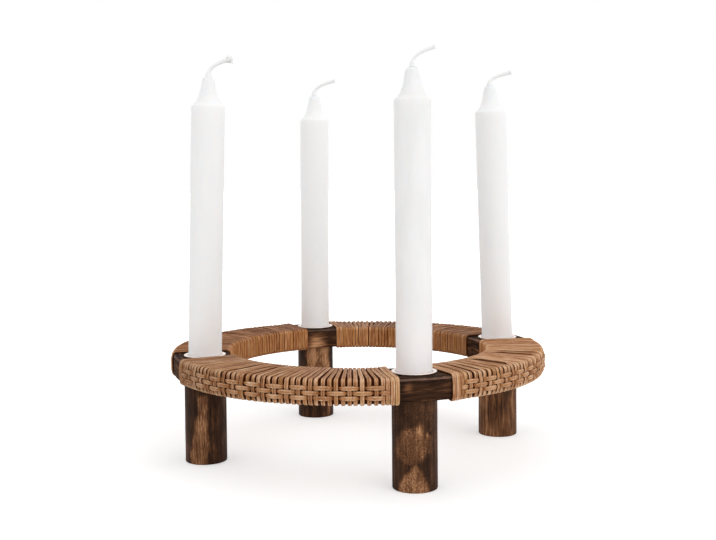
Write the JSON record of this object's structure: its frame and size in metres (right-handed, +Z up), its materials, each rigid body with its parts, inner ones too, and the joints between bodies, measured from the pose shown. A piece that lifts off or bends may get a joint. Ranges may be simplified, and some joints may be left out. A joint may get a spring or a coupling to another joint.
{
  "type": "advent candle holder",
  "caption": "Low round advent candle holder: a scorched wooden ring on round legs, wrapped and woven with cane, holding crown candles in loose metal cups.",
  "frame": {"origin": "on the floor, under the middle of the ring", "axes": "+Z up; the front leg is at -Y, the right leg at +X, the back leg at +Y and the left leg at -X"},
  "size_m": [0.2528, 0.2528, 0.267],
  "materials": {
    "burnt_wood": "scorched, satin",
    "cane": "natural cane, satin",
    "wax": "white wax, soft sheen",
    "wick_cotton": "braided cotton, waxed",
    "cup_metal": "pale satin metal",
    "screw_steel": "zinc plated"
  },
  "bodies": {
    "root": {"ring_frame": "burnt_wood", "leg_front": "burnt_wood", "leg_right": "burnt_wood", "leg_back": "burnt_wood", "leg_left": "burnt_wood", "leg_screws": "screw_steel", "cane_wrap_front_right": "cane", "cane_wrap_back_right": "cane", "cane_wrap_back_left": "cane", "cane_wrap_front_left": "cane", "cane_weaver_front_right_upper": "cane", "cane_weaver_front_right_middle": "cane", "cane_weaver_front_right_lower": "cane", "cane_weaver_back_right_upper": "cane", "cane_weaver_back_right_middle": "cane", "cane_weaver_back_right_lower": "cane", "cane_weaver_back_left_upper": "cane", "cane_weaver_back_left_middle": "cane", "cane_weaver_back_left_lower": "cane", "cane_weaver_front_left_upper": "cane", "cane_weaver_front_left_middle": "cane", "cane_weaver_front_left_lower": "cane"},
    "front_cup": {"candle_cup_front": "cup_metal"},
    "front_candle": {"candle_front": "wax", "wick_front": "wick_cotton"},
    "right_cup": {"candle_cup_right": "cup_metal"},
    "right_candle": {"candle_right": "wax", "wick_right": "wick_cotton"},
    "back_cup": {"candle_cup_back": "cup_metal"},
    "back_candle": {"candle_back": "wax", "wick_back": "wick_cotton"},
    "left_cup": {"candle_cup_left": "cup_metal"},
    "left_candle": {"candle_left": "wax", "wick_left": "wick_cotton"}
  },
  "joints": [
    {"name": "cup_lift_front", "type": "slide", "parent": "root", "child": "front_cup", "axis": [0, 0, 1], "range_m": [0, 0.02]},
    {"name": "candle_lift_front", "type": "slide", "parent": "front_cup", "child": "front_candle", "axis": [0, 0, 1], "range_m": [0, 0.03]},
    {"name": "cup_lift_right", "type": "slide", "parent": "root", "child": "right_cup", "axis": [0, 0, 1], "range_m": [0, 0.02]},
    {"name": "candle_lift_right", "type": "slide", "parent": "right_cup", "child": "right_candle", "axis": [0, 0, 1], "range_m": [0, 0.03]},
    {"name": "cup_lift_back", "type": "slide", "parent": "root", "child": "back_cup", "axis": [0, 0, 1], "range_m": [0, 0.02]},
    {"name": "candle_lift_back", "type": "slide", "parent": "back_cup", "child": "back_candle", "axis": [0, 0, 1], "range_m": [0, 0.03]},
    {"name": "cup_lift_left", "type": "slide", "parent": "root", "child": "left_cup", "axis": [0, 0, 1], "range_m": [0, 0.02]},
    {"name": "candle_lift_left", "type": "slide", "parent": "left_cup", "child": "left_candle", "axis": [0, 0, 1], "range_m": [0, 0.03]}
  ]
}
